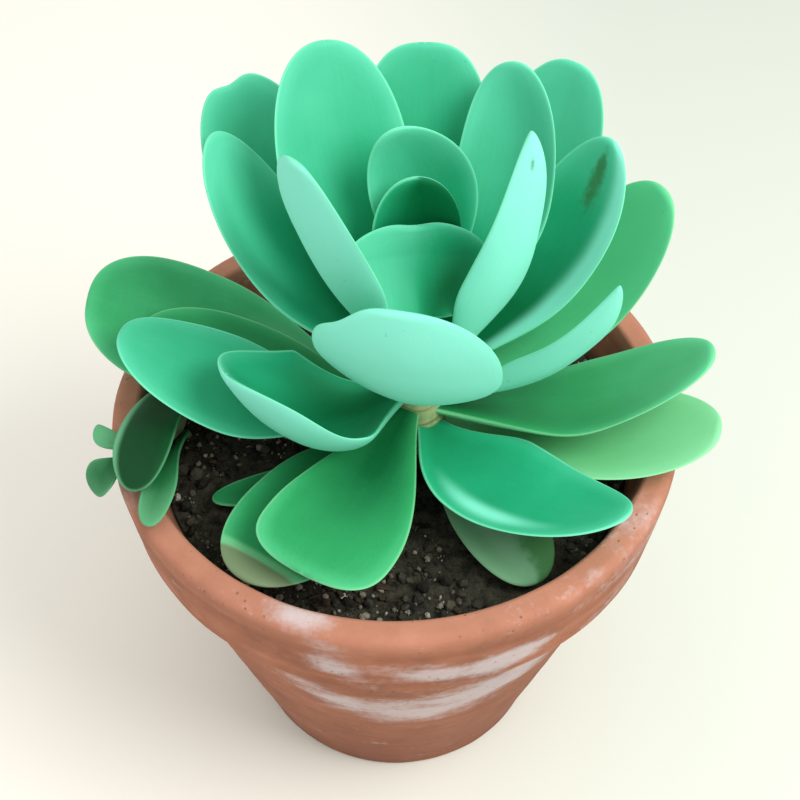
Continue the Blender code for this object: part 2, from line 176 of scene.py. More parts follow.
# node is the height where the leaf leaves the stem. The tip lies at heading (anticlockwise from +X,
# seen from above), reach from the stem's axis and rise above the node. bow is how far the middle hangs
# below the straight line to the tip, sweep how far it stands to the leaf's left, and cup how far each
# half bends up, at the base and at the tip, where it flattens out. fold says how much of that bend is a
# crease along the midrib. roll lifts the leaf's left side and twist adds to it towards the tip. notch is
# the depth of the dent in the tip and dent its place, in half widths to the leaf's left. widest is the
# share of the length where the blade is broadest, foot the breadth of its foot as a share of the width,
# swell how late the blade widens, blunt how broad its tip is, and start how far from the stem's axis
# the midrib begins.
LEAVES = (
    Leaf("leaf_back_left", 116.7, 118.0, 42.0, 58.8, 32.0, 4.0, 3.2, (35.0, 30.0), foot=0.21),
    Leaf("leaf_back_middle", 113.8, 88.0, 46.0, 55.2, 29.5, 6.0, -0.5, (30.0, 25.0), foot=0.2, blunt=2.8),
    Leaf("leaf_back_right", 116.8, 61.5, 41.0, 54.2, 24.5, 6.0, -6.0, (35.0, 40.0), foot=0.2),
    Leaf(
        "leaf_far_back_right", 108.9, 54.0, 60.0, 53.1, 29.0, 12.0, 0.6, (30.0, 25.0),
        foot=0.23, blunt=2.4,
    ),
    Leaf(
        "leaf_far_back_left", 105.5, 134.8, 59.2, 57.5, 31.0, 10.0, -2.0, (30.0, 25.0),
        roll=-16.0, notch=2.0,
    ),
    Leaf("leaf_left_upper", 112.6, 148.0, 51.4, 46.6, 24.6, 7.5, 3.0, (35.0, 30.0), foot=0.26, blunt=1.9),
    Leaf(
        "leaf_inner_left", 119.8, -170.5, 24.3, 57.2, 24.0, 5.0, 0.5, (40.0, 30.0),
        roll=34.0, widest=0.5, foot=0.2,
    ),
    Leaf(
        "leaf_inner_right", 116.0, 4.0, 21.0, 63.5, 17.5, 5.0, -2.6, (30.0, 25.0),
        roll=-60.0, twist=-5.0, widest=0.4, foot=0.18, blunt=1.5, start=5.2,
    ),
    Leaf("leaf_right_upper", 111.8, 32.5, 48.8, 46.6, 26.0, 9.5, -1.4, (40.0, 32.0), roll=6.0, blunt=1.9),
    Leaf("leaf_far_right_upper", 105.5, 22.0, 58.0, 42.5, 30.5, 10.0, 0.0, (30.0, 25.0), foot=0.24),
    Leaf(
        "leaf_right_middle", 107.8, -17.0, 41.4, 44.3, 13.0, 9.0, 0.2, (35.0, 30.0),
        roll=-60.0, widest=0.45, foot=0.18, blunt=1.5, start=3.2,
    ),
    Leaf(
        "leaf_heart_back", 122.5, 109.5, 18.5, 44.4, 24.5, 7.0, -8.0, (36.0, 30.0),
        roll=-3.0, fold=0.3, widest=0.64, foot=0.22, blunt=2.0,
    ),
    Leaf("leaf_heart", 126.0, 91.0, 12.8, 32.9, 22.0, 4.8, 0.0, (60.0, 55.0), fold=0.6, foot=0.21),
    Leaf(
        "leaf_heart_front", 132.5, 95.0, 9.0, 17.8, 31.0, 2.0, 0.0, (52.0, 25.0),
        fold=0.7, notch=0.9, widest=0.68, foot=0.5, start=-2.3,
    ),
    Leaf(
        "leaf_front_upper", 112.0, -97.5, 26.2, 46.8, 39.5, 8.0, 0.0, (25.0, 15.0),
        roll=-5.0, notch=3.8, dent=-0.72, widest=0.64, blunt=2.4,
    ),
    Leaf(
        "leaf_far_left", 93.4, 165.6, 78.9, 24.2, 38.5, 3.2, -4.6, (20.0, 10.0),
        widest=0.67, foot=0.44, swell=3.0, blunt=2.5, start=6.2,
    ),
    Leaf("leaf_left_tucked", 98.0, 172.0, 64.0, 19.1, 30.0, 2.8),
    Leaf("leaf_left_lower", 103.6, 179.0, 65.0, 22.2, 30.0, 5.8, 4.2, (20.0, 10.0), roll=2.0, foot=0.2),
    Leaf(
        "leaf_left_front", 109.7, -157.2, 43.4, 21.5, 43.2, 11.2, 4.6, (64.0, 58.0),
        roll=8.5, twist=5.0, widest=0.45, foot=0.22, blunt=2.8,
    ),
    Leaf(
        "leaf_front", 105.6, -114.6, 57.0, 4.4, 29.8, 1.5, 0.8, (15.0, 10.0),
        roll=-5.0, widest=0.78, foot=0.15, swell=1.5, blunt=3.2,
    ),
    Leaf(
        "leaf_front_tucked", 96.3, -126.6, 61.2, 7.8, 29.5, 1.6, -1.2, (15.0, 10.0),
        widest=0.56, swell=1.4, blunt=2.2,
    ),
    Leaf(
        "leaf_right_front", 99.4, -42.3, 59.0, 15.4, 30.5, 3.6, -7.9, (60.0, 10.0),
        roll=-9.0, widest=0.45, foot=0.2, swell=1.5, blunt=2.1,
    ),
    Leaf("leaf_right_lower", 103.5, -2.0, 65.0, 19.5, 33.0, 8.0, -2.8, (25.0, 20.0), roll=-18.0),
    Leaf(
        "leaf_far_right_lower", 96.0, -14.0, 68.0, 16.5, 32.5, 4.0, 0.0,
        roll=-8.0, foot=0.28, swell=1.8,
    ),
    Leaf("leaf_old_right", 93.5, -60.0, 50.5, 0.5, 20.0, -3.0, 1.2, (10.0, 5.0)),
    Leaf("leaf_old_left", 92.3, -156.0, 50.6, 1.2, 9.0, -1.5, 3.2, (10.0, 5.0)),
)

# Offset: (x, y, height) along the middle of its stem, and its leaves by the place of their foot
OFFSET_RADIUS = 1.8
OFFSET_ROUTE = (
    (-48.0, 8.9, 82.3),
    (-48.5, 8.6, 90.0),
    (-49.4, 6.4, 95.0),
    (-50.2, 1.0, 97.6),
    (-50.6, -4.5, 99.6),
    (-53.6, -11.5, 103.3),
    (-58.8, -18.2, 107.0),
)
OFFSET_LEAF_START = 2.3
OFFSET_LEAVES = (
    (
        (-49.6, 8.5),
        Leaf(
            "offset_leaf_large", 98.9, -98.0, 39.0, 10.0, 12.8, -4.0, -2.0, (15.0, 10.0),
            foot=0.9,
        ),
    ),
    (
        (-57.4, -17.2),
        Leaf("offset_leaf_rear", 107.3, 138.0, 12.6, -1.6, 5.6, 1.6, 1.2, swell=1.3, blunt=1.6),
    ),
    ((-57.2, -18.4), Leaf("offset_leaf_outer", 107.0, 217.0, 11.2, -4.5, 9.5, -1.0)),
    (
        (-47.4, -4.4),
        Leaf(
            "offset_leaf_front", 100.5, -97.5, 33.5, 6.0, 7.2, -2.5,
            widest=0.74, foot=0.24, swell=4.0,
        ),
    ),
)

# Look of a leaf: its finish, how pale it is at its base and its tip (0 to 1), partly the pale wax and
# partly painted shade, low values painting the shade at the base and in the rosette's hollows, and its
# marks. A mark is (kind, share of the length, share of the half width to the leaf's left, length,
# breadth, strength). The darkening marks are painted shade where a leaf lies in shadow; the pale marks
# are pale patches, and on leaf_right_front and offset_leaf_large they are painted highlights.
Look = namedtuple("Look", "finish base tip marks", defaults=((),))
Mark = namedtuple("Mark", "kind along across length breadth strength")
MARKS = ("scar", "pale", "bare", "wither")

LOOKS = {
    "leaf_back_left": Look("fresh", 0.25, 0.85, (Mark("bare", 0.45, -0.4, 44.0, 9.0, 0.22),)),
    "leaf_back_middle": Look("fresh", -0.25, 0.78),
    "leaf_back_right": Look("fresh", 0.1, 0.95),
    "leaf_far_back_right": Look("fresh", 0.4, 1.0),
    "leaf_far_back_left": Look("fresh", 0.3, 0.9),
    "leaf_left_upper": Look("fresh", 0.0, 1.0, (Mark("bare", 0.4, -0.6, 34.0, 10.0, 0.5),)),
    "leaf_inner_left": Look("fresh", 1.25, 1.25),
    "leaf_inner_right": Look("fresh", 0.7, 0.9, (Mark("scar", 0.9, 0.0, 6.0, 3.0, 0.6),)),
    "leaf_right_upper": Look(
        "fresh",
        -0.7,
        0.85,
        (Mark("scar", 0.87, -0.05, 17.0, 6.5, 0.78), Mark("pale", 0.6, -1.0, 60.0, 10.0, 1.3)),
    ),
    "leaf_far_right_upper": Look("mature", 0.75, 1.15),
    "leaf_right_middle": Look("fresh", 0.8, 1.0),
    "leaf_heart_back": Look("fresh", 0.0, 0.95, (Mark("bare", 0.45, -0.6, 26.0, 12.0, 0.35),)),
    "leaf_heart": Look("fresh", -0.4, 0.3, (Mark("bare", 0.75, -0.8, 40.0, 16.0, 1.2),)),
    "leaf_heart_front": Look("fresh", 0.6, 1.05, (Mark("bare", 0.42, -0.72, 26.0, 17.0, 1.1),)),
    "leaf_front_upper": Look(
        "fresh",
        0.7,
        0.9,
        (Mark("scar", 0.62, 0.5, 1.2, 0.8, 0.8), Mark("scar", 0.9, -0.2, 1.0, 0.8, 0.7)),
    ),
    "leaf_far_left": Look("mature", 0.3, 0.62, (Mark("pale", 0.34, -0.5, 30.0, 12.0, 0.7),)),
    "leaf_left_tucked": Look("mature", 0.1, 0.45),
    "leaf_left_lower": Look("fresh", 0.2, 0.75),
    "leaf_left_front": Look("fresh", 0.0, 0.5, (Mark("bare", 0.3, -0.3, 26.0, 16.0, 0.4),)),
    "leaf_front": Look("mature", 0.0, 0.62, (Mark("bare", 0.45, 0.0, 30.0, 16.0, 0.45),)),
    "leaf_front_tucked": Look("mature", 0.1, 0.5, (Mark("wither", 1.02, 0.1, 12.0, 60.0, 1.4),)),
    # Its pale mark is a painted highlight: the sky's reflection on the inner face where the near margin
    # curves up.
    "leaf_right_front": Look("fresh", 0.1, 0.65, (Mark("pale", 0.56, -0.66, 24.0, 6.0, 0.8),)),
    "leaf_right_lower": Look("mature", -0.15, 0.9),
    "leaf_far_right_lower": Look("yellowing", 0.3, 1.0),
    "leaf_old_right": Look(
        "old",
        0.5,
        0.85,
        (
            Mark("pale", 0.7, -0.25, 24.0, 6.0, 0.9),
            Mark("bare", 0.35, 0.0, 30.0, 24.0, 0.65),
            Mark("scar", 0.82, 0.75, 26.0, 12.0, 1.0),
        ),
    ),
    "leaf_old_left": Look("mature", 0.0, 0.3),
    # Its pale mark is painted light along the lit margin of a leaf that lies in shadow.
    "offset_leaf_large": Look("shaded", 0.15, -0.1, (Mark("pale", 0.5, -1.0, 40.0, 2.6, 1.1),)),
    "offset_leaf_rear": Look("shaded", 0.8, 1.1),
    "offset_leaf_outer": Look("shaded", 0.4, 0.7),
    "offset_leaf_front": Look("shaded", -0.5, 0.85),
}

# Colours of a leaf finish as linear RGB: the upper face from its darkest colour, a painted shade green,
# through fresh green to the palest wax, the underside from thin to full wax, and the margin. The shaded
# finish is painted shade for the offset's leaves, which lie in shadow.
Palette = namedtuple("Palette", "deep fresh pale under_deep under_pale margin")

PALETTES = {
    "fresh": Palette(
        (0.001, 0.155, 0.052),
        (0.016, 0.36, 0.175),
        (0.092, 0.56, 0.35),
        (0.13, 0.61, 0.43),
        (0.25, 0.83, 0.65),
        (0.20, 0.75, 0.48),
    ),
    "mature": Palette(
        (0.002, 0.105, 0.030),
        (0.026, 0.31, 0.105),
        (0.11, 0.60, 0.285),
        (0.10, 0.42, 0.20),
        (0.20, 0.58, 0.34),
        (0.20, 0.60, 0.29),
    ),
    "yellowing": Palette(
        (0.020, 0.26, 0.070),
        (0.09, 0.45, 0.165),
        (0.22, 0.63, 0.32),
        (0.14, 0.46, 0.20),
        (0.28, 0.62, 0.34),
        (0.30, 0.70, 0.38),
    ),
    "old": Palette(
        (0.020, 0.085, 0.033),
        (0.080, 0.22, 0.11),
        (0.17, 0.38, 0.21),
        (0.06, 0.16, 0.08),
        (0.16, 0.33, 0.19),
        (0.14, 0.30, 0.15),
    ),
    "shaded": Palette(
        (0.003, 0.050, 0.013),
        (0.014, 0.13, 0.040),
        (0.11, 0.37, 0.18),
        (0.04, 0.18, 0.08),
        (0.14, 0.40, 0.22),
        (0.10, 0.36, 0.17),
    ),
}

# Salt crust on the clay: (angle, radius, height) of its middle, half its length along the wall, half its
# breadth up the wall, its rise along the wall and its strength
Patch = namedtuple("Patch", "angle radius height along up slope strength")
SALT = (
    Patch(-108.0, 61.0, 104.0, 6.0, 3.0, 0.0, 0.95),
    Patch(-103.0, 64.6, 101.0, 5.0, 3.0, 0.0, 0.6),
    Patch(-101.0, 63.9, 93.0, 6.0, 5.0, -0.35, 0.85),
    Patch(-82.0, 63.8, 90.0, 12.0, 4.0, -0.15, 0.85),
    Patch(-69.0, 63.4, 89.5, 10.0, 4.4, 0.1, 1.0),
    Patch(-112.0, 54.5, 68.0, 7.0, 4.6, -0.4, 0.75),
    Patch(-102.0, 51.5, 59.0, 11.0, 7.5, -0.35, 1.0),
    Patch(-87.0, 50.5, 55.0, 15.0, 8.5, -0.1, 1.1),
    Patch(-70.0, 52.5, 60.0, 15.0, 9.5, 0.2, 1.1),
    Patch(-58.0, 53.5, 65.0, 9.0, 9.0, 0.3, 1.0),
    Patch(-48.6, 63.4, 103.8, 2.4, 1.8, 0.0, 0.7),
    Patch(-156.0, 62.5, 104.0, 12.0, 4.0, 0.0, 0.5),
    Patch(150.0, 52.0, 58.0, 22.0, 8.0, 0.1, 0.8),
    Patch(112.0, 50.0, 52.0, 18.0, 5.0, -0.1, 0.7),
    Patch(72.0, 53.0, 62.0, 24.0, 9.0, 0.15, 0.85),
    Patch(24.0, 51.0, 55.0, 20.0, 7.0, -0.15, 0.8),
    Patch(130.0, 64.0, 91.0, 18.0, 4.0, 0.1, 0.7),
    Patch(44.0, 64.2, 94.0, 14.0, 4.5, -0.2, 0.65),
    Patch(-10.0, 64.0, 90.0, 10.0, 3.4, 0.1, 0.5),
    Patch(-33.0, 64.0, 96.0, 16.0, 9.0, 0.1, 0.54),
    Patch(-38.0, 56.0, 74.0, 12.0, 12.0, 0.1, 0.6),
)

# Tones as linear RGB, each with its place on the scale of its finish
GRAIN_TONES = (
    (0.0, (0.012, 0.012, 0.009)),
    (0.4, (0.060, 0.055, 0.038)),
    (0.65, (0.16, 0.145, 0.11)),
    (0.85, (0.27, 0.24, 0.19)),
    (1.0, (0.45, 0.42, 0.37)),
)
BARK_TONES = ((0.3, (0.018, 0.012, 0.008)), (0.7, (0.085, 0.06, 0.038)))
SKY_TONES = ((0.0, (0.82, 0.82, 0.80)), (0.75, (1.0, 1.0, 0.98)))

# Stage: the floor, the lamp and the camera, which looks down at what it aims at
FLOOR_SPREAD = 2600.0
FLOOR_BLEND = 110.0
LAMP_PLACE = (280.0, -160.0, 500.0)
LAMP_AIM = (0.0, 0.0, 120.0)
LAMP_SIZE = 300.0
LAMP_COLOUR = (1.0, 0.98, 0.95)
CAMERA_LENS = 61.07
CAMERA_SENSOR = 36.0
CAMERA_LIFT = 48.8
CAMERA_AIM = (1.15, 0.0, 104.0)
CAMERA_DISTANCE = 312.0
CAMERA_NEAR = 10.0


def size(name, description, default):
    """A length that a user can change, in metres."""
    return FloatProperty(name=name, description=description, default=default, unit="LENGTH", min=0.0)


def colour(name, description, default):
    """A colour that a user can change, as linear RGB."""
    return FloatVectorProperty(
        name=name,
        description=description,
        default=default,
        subtype="COLOR",
        size=3,
        min=0.0,
        max=1.0,
    )


class PotSettings(bpy.types.PropertyGroup):
    """Settings of the clay pot."""

    height: size("Height", "Height of the pot, foot to lip", POT_BOX[1].z)
    clay: colour("Clay", "Dry clay of the body", (0.36, 0.135, 0.075))
    clay_dark: colour("Dark clay", "Damp or sooty clay", (0.20, 0.078, 0.047))
    clay_light: colour("Light clay", "Worn clay of the lip", (0.50, 0.225, 0.15))
    salt: colour("Salt", "Bloom of lime and salts", (0.60, 0.54, 0.555))
    dirt: colour("Dirt", "Soil stain on the inner wall", (0.11, 0.058, 0.038))


class SoilSettings(bpy.types.PropertyGroup):
    """Settings of the soil and what lies on it."""

    damp: colour("Damp soil", "Colour in the hollows", (0.006, 0.006, 0.0045))
    dry: colour("Dry soil", "Colour of the crumbs", (0.075, 0.072, 0.05))
    grains: IntProperty(name="Grains", description="Number of mineral grains", default=2000, min=0)
    crumbs: IntProperty(name="Crumbs", description="Number of soil crumbs", default=900, min=0)
    chips: IntProperty(name="Chips", description="Number of bark chips", default=60, min=0)
    roots: IntProperty(name="Roots", description="Number of fine dry roots", default=46, min=0)


class PlantSettings(bpy.types.PropertyGroup):
    """Settings of the leaves and the stem."""

    wave: size("Margin wave", "Height of the waves along a leaf's margin", WAVE_HEIGHT * MM)
    lump: size("Lumps", "Height of the soft unevenness of a blade", LUMP_HEIGHT * MM)
    scar: colour("Scar", "Corky marks and specks", (0.035, 0.15, 0.035))
    wither: colour("Withered", "Dry tissue of an old tip", (0.17, 0.22, 0.12))
    stem: colour("Stem", "Bark of the stem", (0.36, 0.40, 0.20))
    stem_green: colour("Green stem", "Young skin of the stem", (0.16, 0.34, 0.13))
    stem_scar: colour("Stem scar", "Rings where leaves have dropped", (0.22, 0.15, 0.075))


class StageSettings(bpy.types.PropertyGroup):
    """Settings of the floor, the light and the camera."""

    floor_left: colour("Floor left", "Floor colour on the left", (0.93, 0.905, 0.835))
    floor_right: colour("Floor right", "Floor colour on the right", (0.69, 0.74, 0.665))
    sky: FloatProperty(
        name="Fill",
        description="Strength of the fill light overhead",
        default=0.96,
        min=0.0,
    )
    key: FloatProperty(
        name="Key",
        description="Power of the key light",
        default=2.1,
        unit="POWER",
        min=0.0,
    )


class KalanchoeSettings(bpy.types.PropertyGroup):
    """All settings of the potted kalanchoe."""

    pot: PointerProperty(type=PotSettings)
    soil: PointerProperty(type=SoilSettings)
    plant: PointerProperty(type=PlantSettings)
    stage: PointerProperty(type=StageSettings)


class Socket:
    """A number or colour that comes out of a node. Python's operators on it add Math nodes."""

    def __init__(self, finish, output):
        self.finish = finish
        self.output = output

    def math(self, operation, first, second=0.0):
        """The Math node of one operation on two values."""
        return self.finish.node("ShaderNodeMath", {"operation": operation}, {0: first, 1: second})

    def __add__(self, other):
        return self.math("ADD", self, other)

    def __radd__(self, other):
        return self.math("ADD", other, self)

    def __sub__(self, other):
        return self.math("SUBTRACT", self, other)

    def __rsub__(self, other):
        return self.math("SUBTRACT", other, self)

    def __mul__(self, other):
        return self.math("MULTIPLY", self, other)

    def __rmul__(self, other):
        return self.math("MULTIPLY", other, self)

    def __abs__(self):
        return self.math("ABSOLUTE", self)

    def rise(self, low, high):
        """A soft step from 0 below low to 1 above high."""
        return self.finish.node(
            "ShaderNodeMapRange",
            {"interpolation_type": "SMOOTHSTEP"},
            {0: self, 1: low, 2: high, 3: 0.0, 4: 1.0},
        )


class Finish:
    """A material built of nodes. What varies over the surface is given as sockets."""

    def __init__(self, name, specular):
        self.material = bpy.data.materials.new(name)
        self.material.use_nodes = True
        self.tree = self.material.node_tree
        self.shader = self.tree.nodes["Principled BSDF"]
        self.shader.inputs["Specular IOR Level"].default_value = specular
        self.place = self.node("ShaderNodeTexCoord", output="Object")

    def node(self, kind, settings=None, inputs=None, output=0):
        """A node with its settings and inputs, as the socket of one of its outputs."""
        made = self.tree.nodes.new(kind)
        for name, value in (settings or {}).items():
            if name == "stops":
                self.set_stops(made.color_ramp, value)
            else:
                setattr(made, name, value)
        for key, value in (inputs or {}).items():
            self.feed(made.inputs[key], value)
        return Socket(self, made.outputs[output])

    def feed(self, target, value):
        """Link a socket to an input, or set the input to a number or colour."""
        if isinstance(value, Socket):
            self.tree.links.new(value.output, target)
        elif target.type == "RGBA":
            target.default_value = (*value[:3], 1.0)
        else:
            target.default_value = value

    @staticmethod
    def set_stops(ramp, stops):
        """Place the stops of a colour ramp."""
        while len(ramp.elements) < len(stops):
            ramp.elements.new(1.0)
        for element, (position, shade) in zip(ramp.elements, stops):
            element.position = position
            element.color = (*shade, 1.0)

    def surface(self, colour, roughness, height, depth):
        """Give the shader its colour, its roughness and a bump of that height in millimetres."""
        self.feed(self.shader.inputs["Base Color"], colour)
        self.feed(self.shader.inputs["Roughness"], roughness)
        inputs = {"Height": height, "Distance": depth * MM, "Strength": 1.0}
        self.feed(self.shader.inputs["Normal"], self.node("ShaderNodeBump", None, inputs, "Normal"))
        return self.material

    def attribute(self, name):
        """A number stored on the piece's points."""
        settings = {"attribute_type": "GEOMETRY", "attribute_name": name}
        return self.node("ShaderNodeAttribute", settings, None, "Fac")

    def noise(self, feature, detail=2.0, roughness=0.5, place=None):
        """Soft noise with features of about that many millimetres."""
        inputs = {
            "Vector": place or self.place,
            "Scale": 1.0 / (feature * MM),
            "Detail": detail,
            "Roughness": roughness,
        }
        return self.node("ShaderNodeTexNoise", None, inputs, "Fac")

    def cells(self, feature):
        """Distance to the nearest of many scattered points, as a share of their spacing."""
        inputs = {"Vector": self.place, "Scale": 1.0 / (feature * MM)}
        return self.node("ShaderNodeTexVoronoi", None, inputs, "Distance")

    def stretched(self, x, y, z):
        """The piece's own coordinates, each multiplied."""
        return self.node(
            "ShaderNodeVectorMath",
            {"operation": "MULTIPLY"},
            {0: self.place, 1: (x, y, z)},
        )

    def height(self):
        """Height above the floor in millimetres."""
        return self.node("ShaderNodeSeparateXYZ", None, {0: self.place}, "Z") * (1.0 / MM)

    def mix(self, factor, first, second):
        """One colour going over into another."""
        inputs = {0: factor, 6: first, 7: second}
        return self.node("ShaderNodeMix", {"data_type": "RGBA"}, inputs, 2)

    def ramp(self, value, stops):
        """The colour of a number between stops."""
        return self.node("ShaderNodeValToRGB", {"stops": stops}, {0: value})


def leaf_finish(kind, settings):
    """Waxy blade: pale wax over green and painted shade, a paler underside, faint veins, a pale margin
    and corky marks.
    """
    palette = PALETTES[kind]
    finish = Finish("leaf_" + kind, specular=0.16)
    cloud = finish.noise(19.0, 2.0)
    powder = finish.noise(0.9, 3.0, 0.65)
    # Paleness of the wax and painted shade: low values paint the shade at a leaf's base and where it lies
    # in shadow.
    bloom = finish.attribute("bloom") + (cloud - 0.5) * 0.35 + (powder - 0.5) * 0.07

    fan = finish.node(
        "ShaderNodeCombineXYZ",
        None,
        {0: finish.attribute("across") * 6.0, 1: finish.attribute("along") * 0.7, 2: cloud * 0.5},
    )
    threads = finish.node("ShaderNodeTexNoise", None, {"Vector": fan, "Scale": 1.5, "Detail": 2.0}, "Fac")
    vein = 1.0 - abs(threads * 2.0 - 1.0).rise(0.0, 0.22)
    edge = finish.attribute("edge") + (powder - 0.5) * 0.2
    # Painted shade: dark marks take the paleness away where a leaf lies in shadow, and hide its pale
    # margin there.
    bare = finish.attribute("bare")
    bloom = bloom - bare * 0.7 - vein * 0.012 + (1.0 - edge.rise(0.0, 4.5)) * 0.12

    # The darkest stop of the upper face is a painted shade green.
    upper = finish.ramp(bloom, ((0.0, palette.deep), (0.5, palette.fresh), (1.0, palette.pale)))
    lower = finish.ramp(bloom + 0.4, ((0.2, palette.under_deep), (1.0, palette.under_pale)))
    skin = finish.mix(finish.attribute("under").rise(0.4, 0.6), upper, lower)
    # Pale marks: pale patches of the leaves, and painted highlights on leaf_right_front and
    # offset_leaf_large.
    pale = (finish.attribute("pale") + (cloud - 0.5) * 0.3).rise(0.15, 0.9)
    skin = finish.mix(pale * 0.9, skin, palette.under_pale)
    skin = finish.mix((1.0 - edge.rise(0.2, 0.75)) * 0.6 * (1.0 - bare), skin, palette.margin)

    crust = finish.noise(2.6, 4.0, 0.6)
    scar = (finish.attribute("scar") + (crust - 0.5) * 0.7).rise(0.32, 0.75)
    skin = finish.mix(scar * 0.8, skin, settings.scar)
    speck = (0.10 - finish.cells(3.4)).rise(0.0, 0.04) * finish.noise(9.0).rise(0.55, 0.7)
    skin = finish.mix(speck * 0.3, skin, settings.scar)
    wither = (finish.attribute("wither") + (crust - 0.5) * 0.35).rise(0.35, 0.55)
    skin = finish.mix(wither * 0.92, skin, settings.wither)
    seam = finish.attribute("wither")
    seam = seam.rise(0.2, 0.36) * (1.0 - seam.rise(0.45, 0.6))
    skin = finish.mix(seam * 0.7, skin, palette.margin)

    roughness = 0.52 + (powder - 0.5) * 0.12 + bloom * 0.06 + (scar + wither) * 0.15
    height = powder * 0.2 - vein * 0.1 + (scar + wither) * crust
    return finish.surface(skin, roughness, height, 0.07)


def clay_finish(settings):
    """Fired clay: uneven colour, throwing streaks, pits, a worn lip with a painted highlight, a salt
    crust and a soil stain.
    """
    finish = Finish("clay", specular=0.25)
    broad = finish.noise(31.0, 3.0)
    mottle = finish.noise(7.0, 4.0, 0.6)
    grain = finish.noise(0.9, 3.0, 0.65)
    rings = finish.noise(16.0, 4.0, 0.6, finish.stretched(0.25, 0.25, 5.0))
    shade = broad * 0.5 + mottle * 0.3 + rings * 0.3
    body = finish.ramp(
        shade,
        ((0.35, settings.clay_dark[:]), (0.56, settings.clay[:]), (0.78, settings.clay_light[:])),
    )
    # The lip is lighter, partly worn clay and partly a painted highlight where it faces the light.
    body = finish.mix(finish.attribute("wear") * (0.35 + mottle * 0.5), body, settings.clay_light)
    # Darker towards the foot.
    body = finish.mix((1.0 - finish.height().rise(4.0, 82.0)) * 0.6, body, settings.clay_dark)

    cloud = finish.noise(9.0, 5.0, 0.62, finish.stretched(0.55, 0.55, 1.7))
    speckle = finish.noise(1.7, 3.0, 0.6)
    salt = finish.attribute("salt") * 0.95 + (cloud - 0.5) * 1.5 + (speckle - 0.5) * 0.55
    salt = salt.rise(0.16, 0.98)
    dust = (cloud * 0.6 + speckle * 0.5).rise(0.62, 0.85) * 0.3
    body = finish.mix(salt * 0.76 + dust * (1.0 - salt), body, settings.salt)

    stain = (finish.attribute("stain") + (mottle - 0.5) * 0.8).rise(0.25, 0.75)
    body = finish.mix(stain * 0.85, body, settings.dirt)
    pit = (0.16 - finish.cells(2.3)).rise(0.0, 0.1) * cloud.rise(0.45, 0.6)
    body = finish.mix(pit * 0.5, body, settings.clay_dark)
    roughness = 0.82 + (grain - 0.5) * 0.12 + salt * 0.1
    height = grain * 0.5 + rings * 0.7 + salt * speckle * 0.7 - pit * 1.2
    return finish.surface(body, roughness, height, 0.16)


def soil_finish(settings):
    """Soil: near black hollows and dusty high spots."""
    finish = Finish("damp_soil", specular=0.15)
    lump = finish.noise(3.0, 5.0, 0.7)
    dust = finish.noise(0.6, 3.0, 0.7)
    stops = ((0.38, settings.damp[:]), (0.68, settings.dry[:]))
    tint = finish.ramp(lump * 0.7 + dust * 0.3, stops)
    return finish.surface(tint, 0.85 + dust * 0.1, lump + dust * 0.4, 0.5)


def grain_finish():
    """Soil crumbs and mineral grains, each bit with its own tone."""
    finish = Finish("grains", specular=0.25)
    speckle = finish.noise(0.35, 2.0)
    tone = finish.attribute("tone") + (speckle - 0.5) * 0.25
    tint = finish.ramp(tone, GRAIN_TONES)
    return finish.surface(tint, 0.7 + speckle * 0.2, speckle, 0.12)


def bark_finish():
    """Bark chips and dry roots."""
    finish = Finish("bark", specular=0.15)
    fibre = finish.noise(1.0, 4.0, 0.65, finish.stretched(1.0, 3.0, 1.0))
    tint = finish.ramp(fibre, BARK_TONES)
    return finish.surface(tint, 0.8 + fibre * 0.1, fibre, 0.2)


def stem_finish(settings):
    """Fleshy stem with corky rings where leaves have dropped."""
    finish = Finish("stem", specular=0.25)
    lump = finish.noise(5.0, 4.0, 0.6)
    streak = finish.noise(1.2, 3.0, 0.6, finish.stretched(1.0, 1.0, 0.25))
    ring = (finish.attribute("ring") + (lump - 0.5) * 0.5).rise(0.3, 0.8)
    age = (lump * 0.6 + streak * 0.4).rise(0.35, 0.65)
    skin = finish.mix(age, settings.stem_green, settings.stem)
    skin = finish.mix(ring * 0.6, skin, settings.stem_scar)
    return finish.surface(skin, 0.6 + streak * 0.15, streak * 0.6 + ring * 0.4, 0.2)


def floor_finish(settings):
    """Plain pale floor, cream on the left and a little greener on the right."""
    finish = Finish("floor", specular=0.0)
    side = finish.node("ShaderNodeSeparateXYZ", None, {0: finish.place}, "X")
    share = side.rise(-FLOOR_BLEND * MM, FLOOR_BLEND * MM)
    tint = finish.mix(share, settings.floor_left, settings.floor_right)
    return finish.surface(tint, 0.9, finish.noise(2.0), 0.01)


def add_piece(name, mesh_or_curve, material, slot, *nodes):
    """Link a finished piece, let it ride on the body and stand for CAD nodes."""
    mesh_or_curve.materials.append(material)
    piece = bpy.data.objects.new(name, mesh_or_curve)
    bpy.context.scene.collection.objects.link(piece)
    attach(piece, BODY)
    if nodes:
        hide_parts(*nodes)


def finished_mesh(name, shape, smooth=True):
    """A mesh of a bmesh, which is freed. It is shaded smooth unless it is meant to look angular."""
    mesh = bpy.data.meshes.new(name)
    shape.to_mesh(mesh)
    shape.free()
    if smooth:
        mesh.shade_smooth()
    return mesh


